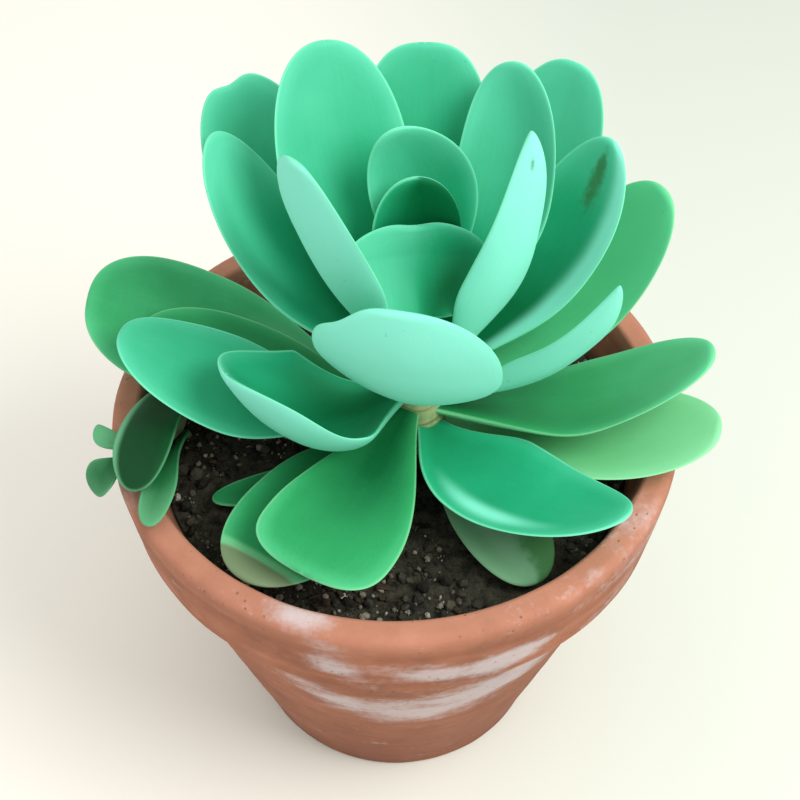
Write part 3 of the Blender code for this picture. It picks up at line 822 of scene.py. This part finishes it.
def turned(outline, steps):
    """A bmesh of a closed outline of (radius, height) points spun about the vertical axis."""
    shape = bmesh.new()
    points = [shape.verts.new((radius * MM, 0.0, height * MM)) for radius, height in outline]
    edges = [shape.edges.new(pair) for pair in zip(points, points[1:] + points[:1])]
    bmesh.ops.spin(
        shape,
        geom=points + edges,
        cent=(0.0, 0.0, 0.0),
        axis=(0.0, 0.0, 1.0),
        angle=math.tau,
        steps=steps,
        use_merge=True,
    )
    bmesh.ops.remove_doubles(shape, verts=shape.verts, dist=0.005 * MM)
    bmesh.ops.dissolve_degenerate(shape, edges=shape.edges, dist=0.002 * MM)
    bmesh.ops.recalc_face_normals(shape, faces=shape.faces)
    return shape


def stepped(outline, row):
    """The outline with points added so that no straight piece is longer than row."""
    finer = []
    for (radius, height), (next_radius, next_height) in zip(outline, outline[1:]):
        count = max(1, math.ceil(math.hypot(next_radius - radius, next_height - height) / row))
        for step in range(count):
            share = step / count
            out = (next_radius - radius) * share
            up = (next_height - height) * share
            finer.append((radius + out, height + up))
    finer.append(outline[-1])
    return finer


def arc(centre, radius, start, end):
    """Points of a rounded corner from one angle to another."""
    points = []
    for step in range(ARC_STEPS + 1):
        angle = math.radians(start + (end - start) * step / ARC_STEPS)
        points.append((centre[0] + radius * math.cos(angle), centre[1] + radius * math.sin(angle)))
    return points


def wall_radius(height):
    """Radius of the pot's inner wall at a height."""
    low = FOOT_RADIUS - WALL
    return low + (RIM_INNER_RADIUS - low) * (height - FLOOR) / (POT_HEIGHT - FLOOR)


def salt_at(place):
    """How thick the salt crust lies at a point of the pot, from 0 to 1."""
    angle = math.atan2(place.y, place.x)
    radius = place.to_2d().length / MM
    height = place.z / MM
    most = 0.0
    for patch in SALT:
        turn = (angle - math.radians(patch.angle) + math.pi) % math.tau - math.pi
        along = turn * patch.radius
        up = math.hypot(height - patch.height - patch.slope * along, radius - patch.radius)
        reach = math.hypot(along / patch.along, up / patch.up)
        most = max(most, patch.strength * math.exp(-FADE * reach ** 2.2))
    return most


class KALANCHOE_OT_pot(bpy.types.Operator):
    """Build the clay pot"""

    bl_idname = "kalanchoe.pot"
    bl_label = "Pot"

    def execute(self, context):
        settings = context.scene.kalanchoe.pot
        top = settings.height / MM
        collar_foot = top - COLLAR_HEIGHT
        lip = arc((RIM_RADIUS - LIP_ROUND, top - LIP_ROUND), LIP_ROUND, 0.0, 90.0)
        mouth = arc((RIM_INNER_RADIUS + MOUTH_EDGE, top - MOUTH_EDGE), MOUTH_EDGE, 90.0, 176.0)
        heel = arc((FOOT_RADIUS - FOOT_CHAMFER, FOOT_CHAMFER), FOOT_CHAMFER, -90.0, 8.0)
        collar = arc(
            (COLLAR_FOOT_RADIUS - COLLAR_EDGE, collar_foot + COLLAR_EDGE),
            COLLAR_EDGE,
            -90.0,
            5.0,
        )
        seen = [*heel, (NECK_RADIUS, collar_foot - NECK_DROP), *collar, *lip, *mouth]
        lowest = SOIL_LEVEL - SEEN_BELOW_SOIL
        seen.append((wall_radius(lowest), lowest))
        hidden = [
            seen[-1],
            (wall_radius(FLOOR + FLOOR_COVE), FLOOR + FLOOR_COVE),
            (wall_radius(FLOOR) - FLOOR_COVE, FLOOR),
            (DRAIN_RADIUS, FLOOR),
            (DRAIN_RADIUS, 0.0),
            seen[0],
        ]
        outline = stepped(seen, POT_ROW)[:-1] + stepped(hidden, HIDDEN_ROW)[:-1]
        shape = turned(outline, POT_STEPS)
        salt = shape.verts.layers.float.new("salt")
        wear = shape.verts.layers.float.new("wear")
        stain = shape.verts.layers.float.new("stain")
        for point in shape.verts:
            radius = point.co.to_2d().length / MM
            height = point.co.z / MM
            inside = height > FLOOR and radius < wall_radius(height) + WALL_SKIN
            point[salt] = salt_at(point.co)
            # Lighter near the top of the lip, outside: partly worn clay and partly painted highlight.
            point[wear] = max(0.0, 1.0 - abs(height - top) / WEAR_AND_HIGHLIGHT_BAND) * (0.0 if inside else 1.0)
            if inside:
                point[stain] = max(0.0, 1.0 - (height - SOIL_LEVEL) / STAIN_BAND)
                continue
            if height < FLAT_FOOT or radius < FOOT_RADIUS - FOOT_CHAMFER:
                continue
            angle = math.atan2(point.co.y, point.co.x)
            ridge = THROW_RIDGE * math.sin(height * RIDGE_TURN + 0.5 * math.sin(angle * 2.0))
            spot = (math.cos(angle) * WARP_ROUND, math.sin(angle) * WARP_ROUND, height / WARP_SIZE)
            warp = POT_WARP * field.noise(Vector(spot))
            hollow = HOLLOW_DEPTH * field.noise(point.co / (HOLLOW_SIZE * MM))
            grow = 1.0 + (ridge + warp + hollow) / radius
            point.co.x *= grow
            point.co.y *= grow
        mesh = finished_mesh("pot_clay", shape)
        add_piece("pot_clay", mesh, clay_finish(settings), "clay", "pot")
        return {"FINISHED"}


def soil_height(share, angle):
    """Height of the soil's top: a low heap with soft lumps that fade out at the wall."""
    slope = 1.0 - share * share
    lumps = math.sin(3.0 * angle + 1.3) * math.sin(7.0 * share + 0.4)
    lumps += 0.6 * math.sin(7.0 * angle + 4.0 * share)
    return SOIL_LEVEL + SOIL_CROWN * slope + SOIL_LUMP * lumps * share * slope


def crumbly_height(x, y):
    """Height of the soil's top with its crumbs, in millimetres."""
    share = min(1.0, math.hypot(x, y) / wall_radius(SOIL_LEVEL))
    height = soil_height(share, math.atan2(y, x))
    spot = Vector((x, y, 0.0))
    height += CRUMB_HEIGHT * field.fractal(spot / CRUMB_SIZE, 0.8, 2.1, 4)
    height += DUST_HEIGHT * field.noise(spot / DUST_SIZE)
    return height


def under_low_leaf(x, y):
    """Whether a place on the soil lies just below one of the old leaves."""
    across_x = x - STEM_PLACE[0]
    across_y = y - STEM_PLACE[1]
    for leaf in LEAVES:
        heading = math.radians(leaf.heading)
        along = across_x * math.cos(heading) + across_y * math.sin(heading)
        aside = across_y * math.cos(heading) - across_x * math.sin(heading)
        near = 0.0 < along < leaf.reach + LOW_LEAF_EDGE and abs(aside) < leaf.width / 2.0 + LOW_LEAF_EDGE
        if near and leaf.node + leaf.rise < LOW_LEAF_TIP:
            return True
    return False


def scattered(chance, count, edge):
    """Places on the soil for loose bits, clear of the stem, the low leaves and the wall by edge."""
    rim = wall_radius(SOIL_LEVEL) - edge
    places = []
    while len(places) < count:
        x = chance.uniform(-rim, rim)
        y = chance.uniform(-rim, rim)
        if math.hypot(x, y) > rim or math.hypot(x - STEM_PLACE[0], y - STEM_PLACE[1]) < STEM_CLEAR:
            continue
        if under_low_leaf(x, y):
            continue
        places.append((x, y, crumbly_height(x, y)))
    return places


def bit_matrix(place, turn, scale):
    """A matrix that scales a bit, turns it by Euler angles and puts it at a place in millimetres."""
    grow = Matrix.Diagonal((*(part * MM for part in scale), 1.0))
    return Matrix.Translation(Vector(place) * MM) @ Euler(turn).to_matrix().to_4x4() @ grow


def loose_bits(name, chance, count, smallest, largest, flatness, tones):
    """A mesh of many small irregular bits lying on the soil."""
    shape = bmesh.new()
    tone = shape.verts.layers.float.new("tone")
    for x, y, height in scattered(chance, count, GRIT_EDGE):
        spread = chance.random() ** 2.2
        width = smallest + (largest - smallest) * spread
        scale = [width * chance.uniform(0.7, 1.2) / 2.0 for _ in range(3)]
        scale[2] *= flatness
        place = (x, y, height + width * chance.uniform(0.0, 0.3))
        turn = [chance.uniform(0.0, math.tau) for _ in range(3)]
        matrix = bit_matrix(place, turn, scale)
        made = bmesh.ops.create_icosphere(shape, subdivisions=1, radius=1.0, matrix=matrix)
        shade = chance.choice(tones) + chance.uniform(-0.08, 0.08)
        for point in made["verts"]:
            point.co += field.noise_vector(point.co / (BIT_JOG_SIZE * MM)) * BIT_JOG * width * MM
            point[tone] = shade
    return finished_mesh(name, shape, smooth=False)


class KALANCHOE_OT_soil(bpy.types.Operator):
    """Fill the pot with soil and strew it with crumbs, grains, bark chips and fine roots"""

    bl_idname = "kalanchoe.soil"
    bl_label = "Soil"

    def execute(self, context):
        settings = context.scene.kalanchoe.soil
        side = wall_radius(SOIL_LEVEL) - SOIL_GAP
        outline = [(side * ring / SOIL_RINGS, SOIL_LEVEL) for ring in range(SOIL_RINGS + 1)]
        outline += [
            (wall_radius(SOIL_LEVEL - SOIL_SHOULDER) - SOIL_GAP, SOIL_LEVEL - SOIL_SHOULDER),
            (wall_radius(FLOOR + FLOOR_COVE) - SOIL_GAP, FLOOR + FLOOR_COVE),
            (wall_radius(FLOOR) - FLOOR_COVE - SOIL_GAP, FLOOR + SOIL_GAP),
            (0.0, FLOOR + SOIL_GAP),
        ]
        shape = turned(outline, SOIL_STEPS)
        for point in shape.verts:
            if point.co.z > (SOIL_LEVEL - 0.5) * MM:
                point.co.z = crumbly_height(point.co.x / MM, point.co.y / MM) * MM
        mesh = finished_mesh("soil_bed", shape)
        add_piece("soil_bed", mesh, soil_finish(settings), "soil", "soil")

        field.seed_set(BIT_SEED)
        chance = random.Random(BIT_SEED)
        grains = grain_finish()
        tones = (0.0, 0.1, 0.2, 0.35)
        crumbs = loose_bits("soil_crumbs", chance, settings.crumbs, 1.2, 3.6, 0.8, tones)
        add_piece("soil_crumbs", crumbs, grains, "soil")
        tones = (0.35, 0.5, 0.6, 0.7, 0.78, 0.9)
        grit = loose_bits("soil_grit", chance, settings.grains, 0.45, 2.0, 0.85, tones)
        add_piece("soil_grit", grit, grains, "soil")
        self.add_chips(chance, settings.chips)
        self.add_roots(chance, settings.roots)
        return {"FINISHED"}

    def add_chips(self, chance, count):
        """Flat chips of bark."""
        shape = bmesh.new()
        for x, y, height in scattered(chance, count, CHIP_EDGE):
            turn = (chance.uniform(-0.4, 0.4), chance.uniform(-0.4, 0.4), chance.uniform(0.0, math.tau))
            scale = (chance.uniform(1.6, 4.2), chance.uniform(0.7, 1.6), chance.uniform(0.3, 0.6))
            matrix = bit_matrix((x, y, height + 0.4), turn, scale)
            made = bmesh.ops.create_cube(shape, size=1.0, matrix=matrix)
            for point in made["verts"]:
                point.co += field.noise_vector(point.co / MM) * CHIP_JOG * MM
        bmesh.ops.bevel(
            shape,
            geom=shape.edges,
            offset=CHIP_BEVEL * MM,
            offset_type="OFFSET",
            affect="EDGES",
            segments=1,
            profile=0.5,
            material=-1,
        )
        mesh = finished_mesh("bark_chips", shape)
        add_piece("bark_chips", mesh, bark_finish(), "soil")

    def add_roots(self, chance, count):
        """Fine dry roots that lie over the crumbs."""
        curve = bpy.data.curves.new("fine_roots", "CURVE")
        curve.dimensions = "3D"
        curve.bevel_depth = ROOT_RADIUS * MM
        curve.bevel_resolution = 1
        for x, y, _ in scattered(chance, count, ROOT_EDGE):
            heading = chance.uniform(0.0, math.tau)
            line = curve.splines.new("POLY")
            steps = chance.randint(5, 12)
            line.points.add(steps)
            for point in line.points:
                height = crumbly_height(x, y) + ROOT_LIFT
                point.co = (x * MM, y * MM, height * MM, 1.0)
                point.radius = chance.uniform(0.6, 1.3)
                heading += chance.uniform(-ROOT_TURN, ROOT_TURN)
                x += ROOT_STEP * math.cos(heading)
                y += ROOT_STEP * math.sin(heading)
                if math.hypot(x, y) > wall_radius(SOIL_LEVEL) - 2.0:
                    heading += math.pi / 2.0
                    x *= 0.98
                    y *= 0.98
        add_piece("fine_roots", curve, bpy.data.materials["bark"], "soil")


def stem_radius(height):
    """Radius of the stem at a height."""
    for (low, wide), (high, narrow) in zip(STEM_OUTLINE, STEM_OUTLINE[1:]):
        if height <= high:
            return wide + (narrow - wide) * max(0.0, height - low) / (high - low)
    return STEM_OUTLINE[-1][1]


class KALANCHOE_OT_stem(bpy.types.Operator):
    """Build the stem with its leaf scars"""

    bl_idname = "kalanchoe.stem"
    bl_label = "Stem"

    def execute(self, context):
        settings = context.scene.kalanchoe.plant
        low, high = STEM_OUTLINE[0], STEM_OUTLINE[-1]
        outline = [(0.0, low[0]), *((radius, height) for height, radius in STEM_OUTLINE), (0.0, high[0])]
        shape = turned(stepped(outline, STEM_ROW), STEM_STEPS)
        ring = shape.verts.layers.float.new("ring")
        for point in shape.verts:
            height = point.co.z / MM
            angle = math.atan2(point.co.y, point.co.x)
            wander = 0.7 * math.sin(angle + height) + 0.4 * math.sin(3.0 * angle)
            near = min(abs(height - scar + wander) for scar in STEM_SCARS)
            point[ring] = math.exp(-((near / SCAR_WIDTH) ** 2))
            lump = STEM_LUMP * field.noise(point.co / (STEM_LUMP_SIZE * MM))
            swell = SCAR_SWELL * point[ring] + lump
            grow = 1.0 + swell / max(1.0, stem_radius(height))
            point.co.x *= grow
            point.co.y *= grow
        bmesh.ops.translate(shape, verts=shape.verts, vec=(STEM_PLACE[0] * MM, STEM_PLACE[1] * MM, 0.0))
        mesh = finished_mesh("stem_bark", shape)
        add_piece("stem_bark", mesh, stem_finish(settings), "stem", "stem")
        return {"FINISHED"}


def spine(leaf, axis, share):
    """Point on a leaf's midrib, the direction along it and the leaf's left, from base 0 to tip 1."""
    heading = math.radians(leaf.heading)
    out = Vector((math.cos(heading), math.sin(heading), 0.0))
    left = Vector((-math.sin(heading), math.cos(heading), 0.0))
    foot = Vector((*axis, leaf.node)) + out * leaf.start
    tip = Vector((*axis, leaf.node + leaf.rise)) + out * leaf.reach
    below = left.cross(tip - foot).normalized()
    if below.z > 0.0 or (below.z == 0.0 and below.dot(out) < 0.0):
        below = -below
    middle = (foot + tip) / 2.0 + 2.0 * (leaf.bow * below + leaf.sweep * left)
    rest = 1.0 - share
    point = rest * rest * foot + 2.0 * rest * share * middle + share * share * tip
    along = (rest * (middle - foot) + share * (tip - middle)).normalized()
    return point, along, left


def half_width(leaf, share):
    """Half of a leaf's width: a narrow foot, widest past the middle, and a round or pointed tip."""
    if share < leaf.widest:
        swell = math.sin(math.pi / 2.0 * share / leaf.widest) ** leaf.swell
        shape = leaf.foot + (1.0 - leaf.foot) * swell
    else:
        past = (share - leaf.widest) / (1.0 - leaf.widest)
        shape = max(0.0, 1.0 - past ** leaf.blunt) ** (1.0 / leaf.blunt)
    return leaf.width / 2.0 * shape


def half_thickness(leaf, share):
    """Half of a leaf's thickness: fullest at a quarter of the length and thin past two thirds."""
    swell = math.sin(math.pi * min(1.0, share * 1.2 + 0.2))
    full = LEAF_THICKNESS / 2.0 * math.sqrt(min(1.0, leaf.width / BROAD_LEAF))
    return full * (THIN_SHARE + (1.0 - THIN_SHARE) * swell)


def unevenness(leaf, share, out, place, settings):
    """How far a blade's skin is lifted off its plain form, by margin waves and soft lumps."""
    phase = sum(leaf.name.encode()) * 0.7 + (1.9 if out < 0.0 else 0.0)
    length = math.hypot(leaf.reach, leaf.rise)
    wave = settings.wave / MM * out * out * math.sin(math.pi * share)
    wave *= math.sin(length * share / WAVE_LENGTH + phase)
    return wave + settings.lump / MM * field.noise(place / LUMP_SIZE)


def dent_depth(leaf, share, flat):
    """How far the dent in the tip draws a point back, by its distance from the midrib."""
    near_tip = max(0.0, 1.0 - (1.0 - share) / DENT_LENGTH)
    away = (flat - leaf.dent * leaf.width / 2.0) / (DENT_WIDTH * leaf.width)
    return leaf.notch * near_tip * math.exp(-away * away)


def leaf_point(leaf, axis, share, turn_angle, settings):
    """Point on a leaf's skin: share runs from base to tip and turn_angle round the blade."""
    point, along, left = spine(leaf, axis, share)
    across = (left - along * left.dot(along)).normalized()
    upper = along.cross(across)
    roll = math.radians(leaf.roll + leaf.twist * share)
    side = across * math.cos(roll) + upper * math.sin(roll)
    face = upper * math.cos(roll) - across * math.sin(roll)

    base_cup, tip_cup = leaf.cup
    cup = math.radians(base_cup + (tip_cup - base_cup) * share)
    wide = half_width(leaf, share)
    if share > leaf.widest:
        cup *= wide / (leaf.width / 2.0)
    cup = max(FLATTEST_CUP, cup)
    out = math.cos(turn_angle)
    hinge = math.sqrt(out * out + CREASE * CREASE)
    lean = cup * ((1.0 - leaf.fold) * out + leaf.fold * 0.5 * out / hinge)
    bulge = math.copysign(abs(math.sin(turn_angle)) ** EDGE_ROUND, math.sin(turn_angle))
    to_tip = min(1.0, (1.0 - share) * math.hypot(leaf.reach, leaf.rise) / TIP_ROUND)
    lift = half_thickness(leaf, share) * bulge * math.sqrt(1.0 - (1.0 - to_tip) ** 2)
    flat = (1.0 - leaf.fold) * math.sin(cup * out) / cup + leaf.fold * out * math.cos(cup / 2.0)
    height = (1.0 - leaf.fold) * (1.0 - math.cos(cup * out)) / cup
    height += leaf.fold * (hinge - CREASE) * math.sin(cup / 2.0)
    lift += unevenness(leaf, share, out, point + side * wide * out, settings)
    flat = wide * flat - lift * math.sin(lean)
    height = wide * height + lift * math.cos(lean)

    return point + side * flat + face * height - along * dent_depth(leaf, share, flat)


def mark_at(leaf, kind, share, out):
    """How strongly a mark of a kind shows at a place of a blade, from 0 to 1."""
    length = math.hypot(leaf.reach, leaf.rise)
    most = 0.0
    for mark in LOOKS[leaf.name].marks:
        if mark.kind != kind:
            continue
        along = (share - mark.along) * length / (mark.length / 2.0)
        aside = (out - mark.across) * leaf.width / 2.0 / (mark.breadth / 2.0)
        most = max(most, mark.strength * math.exp(-FADE * (along * along + aside * aside)))
    return most


def build_blade(leaf, axis, around, rows, settings):
    """One leaf drawn out of a sphere, with the numbers that its finish reads."""
    shape = bmesh.new()
    bmesh.ops.create_uvsphere(shape, u_segments=around, v_segments=rows, radius=1.0)
    layer = {}
    for name in ("bloom", "under", "edge", "along", "across", *MARKS):
        layer[name] = shape.verts.layers.float.new(name)
    look = LOOKS[leaf.name]
    margin = []
    for point in shape.verts:
        share = min(1.0, max(0.0, (1.0 + point.co.z) / 2.0))
        pole = point.co.to_2d().length < 0.001
        turn_angle = 0.0 if pole else math.atan2(point.co.y, point.co.x)
        out = 0.0 if pole else math.cos(turn_angle)
        place = leaf_point(leaf, axis, share, turn_angle, settings)
        if pole or abs(math.sin(turn_angle)) < 0.001:
            margin.append(place)
        side = math.sin(turn_angle)
        point[layer["under"]] = 0.5 - 0.5 * math.copysign(abs(side) ** 0.3, side)
        # Paleness from base to tip: partly wax and partly painted shade that darkens the base, a little
        # paler towards the margins.
        point[layer["bloom"]] = look.base + (look.tip - look.base) * share ** 0.8 + 0.12 * out ** 4
        point[layer["along"]] = share
        point[layer["across"]] = out * half_width(leaf, min(share, leaf.widest)) / (leaf.width / 2.0)
        for kind in MARKS:
            point[layer[kind]] = mark_at(leaf, kind, share, out)
        point.co = place * MM
    tree = KDTree(len(margin))
    for index, place in enumerate(margin):
        tree.insert(place, index)
    tree.balance()
    for point in shape.verts:
        point[layer["edge"]] = tree.find(point.co / MM)[2]
    bmesh.ops.recalc_face_normals(shape, faces=shape.faces)
    piece = leaf.name + "_blade"
    material = bpy.data.materials.get("leaf_" + look.finish) or leaf_finish(look.finish, settings)
    add_piece(piece, finished_mesh(piece, shape), material, "leaf", leaf.name)


class KALANCHOE_OT_rosette(bpy.types.Operator):
    """Build the leaves of the rosette"""

    bl_idname = "kalanchoe.rosette"
    bl_label = "Rosette"

    def execute(self, context):
        settings = context.scene.kalanchoe.plant
        for leaf in LEAVES:
            build_blade(leaf, STEM_PLACE, LEAF_AROUND, LEAF_ALONG, settings)
        return {"FINISHED"}


class KALANCHOE_OT_offset(bpy.types.Operator):
    """Build the young offset that leans over the rim"""

    bl_idname = "kalanchoe.offset"
    bl_label = "Offset"

    def execute(self, context):
        settings = context.scene.kalanchoe.plant
        curve = bpy.data.curves.new("offset_shoot", "CURVE")
        curve.dimensions = "3D"
        curve.bevel_depth = OFFSET_RADIUS * MM
        curve.bevel_resolution = 6
        curve.use_fill_caps = True
        curve.resolution_u = 16
        line = curve.splines.new("BEZIER")
        line.bezier_points.add(len(OFFSET_ROUTE) - 1)
        for point, place in zip(line.bezier_points, OFFSET_ROUTE):
            point.co = Vector(place) * MM
            point.handle_left_type = "AUTO"
            point.handle_right_type = "AUTO"
        add_piece("offset_shoot", curve, bpy.data.materials["stem"], "stem", "offset_stem")
        for foot, leaf in OFFSET_LEAVES:
            rooted = leaf._replace(start=OFFSET_LEAF_START)
            build_blade(rooted, foot, OFFSET_AROUND, OFFSET_ALONG, settings)
        return {"FINISHED"}


class KALANCHOE_OT_stage(bpy.types.Operator):
    """Lay the floor, set the light and place the camera"""

    bl_idname = "kalanchoe.stage"
    bl_label = "Stage"

    def execute(self, context):
        scene = context.scene
        settings = scene.kalanchoe.stage
        scene.view_settings.view_transform = "Standard"

        shape = bmesh.new()
        bmesh.ops.create_circle(shape, cap_ends=True, segments=96, radius=FLOOR_SPREAD * MM)
        mesh = finished_mesh("floor", shape, smooth=False)
        mesh.materials.append(floor_finish(settings))
        floor = bpy.data.objects.new("floor", mesh)
        scene.collection.objects.link(floor)

        world = bpy.data.worlds.new("studio")
        world.use_nodes = True
        tree = world.node_tree
        fill = tree.nodes["Background"]
        fill.inputs["Strength"].default_value = settings.sky
        direction = tree.nodes.new("ShaderNodeTexCoord")
        upward = tree.nodes.new("ShaderNodeSeparateXYZ")
        dome = tree.nodes.new("ShaderNodeValToRGB")
        Finish.set_stops(dome.color_ramp, SKY_TONES)
        tree.links.new(direction.outputs["Generated"], upward.inputs[0])
        tree.links.new(upward.outputs["Z"], dome.inputs[0])
        tree.links.new(dome.outputs["Color"], fill.inputs["Color"])
        scene.world = world

        key = bpy.data.lights.new("key", "AREA")
        key.shape = "DISK"
        key.size = LAMP_SIZE * MM
        key.energy = settings.key
        key.color = LAMP_COLOUR
        lamp = bpy.data.objects.new("key", key)
        lamp.location = Vector(LAMP_PLACE) * MM
        toward = Vector(LAMP_AIM) * MM - lamp.location
        lamp.rotation_euler = toward.to_track_quat("-Z", "Y").to_euler()
        scene.collection.objects.link(lamp)

        lens = bpy.data.cameras.new("camera")
        lens.lens = CAMERA_LENS
        lens.sensor_width = CAMERA_SENSOR
        lens.clip_start = CAMERA_NEAR * MM
        camera = bpy.data.objects.new("camera", lens)
        lift = math.radians(CAMERA_LIFT)
        back = CAMERA_DISTANCE * Vector((0.0, -math.cos(lift), math.sin(lift)))
        camera.location = (Vector(CAMERA_AIM) + back) * MM
        camera.rotation_euler = (math.pi / 2.0 - lift, 0.0, 0.0)
        scene.collection.objects.link(camera)
        scene.camera = camera
        return {"FINISHED"}


class KALANCHOE_PT_panel(bpy.types.Panel):
    """Buttons and settings of the potted kalanchoe"""

    bl_idname = "KALANCHOE_PT_panel"
    bl_label = "Potted Kalanchoe"
    bl_space_type = "VIEW_3D"
    bl_region_type = "UI"
    bl_category = "Kalanchoe"

    def draw(self, context):
        settings = context.scene.kalanchoe
        for operator in OPERATORS:
            self.layout.operator(operator.bl_idname)
        for part in (settings.pot, settings.soil, settings.plant, settings.stage):
            box = self.layout.box()
            for name in part.__annotations__:
                box.prop(part, name)


OPERATORS = (
    KALANCHOE_OT_stage,
    KALANCHOE_OT_pot,
    KALANCHOE_OT_soil,
    KALANCHOE_OT_stem,
    KALANCHOE_OT_rosette,
    KALANCHOE_OT_offset,
)
CLASSES = (
    PotSettings,
    SoilSettings,
    PlantSettings,
    StageSettings,
    KalanchoeSettings,
    *OPERATORS,
    KALANCHOE_PT_panel,
)


def register():
    """Make the settings, the operators and the panel known."""
    for kind in CLASSES:
        bpy.utils.register_class(kind)
    bpy.types.Scene.kalanchoe = PointerProperty(type=KalanchoeSettings)


def unregister():
    """Take the settings, the operators and the panel away again."""
    del bpy.types.Scene.kalanchoe
    for kind in reversed(CLASSES):
        bpy.utils.unregister_class(kind)


def main():
    """Build everything."""
    register()
    bpy.ops.kalanchoe.stage()
    bpy.ops.kalanchoe.pot()
    bpy.ops.kalanchoe.soil()
    bpy.ops.kalanchoe.stem()
    bpy.ops.kalanchoe.rosette()
    bpy.ops.kalanchoe.offset()


if __name__ == "__main__":
    main()
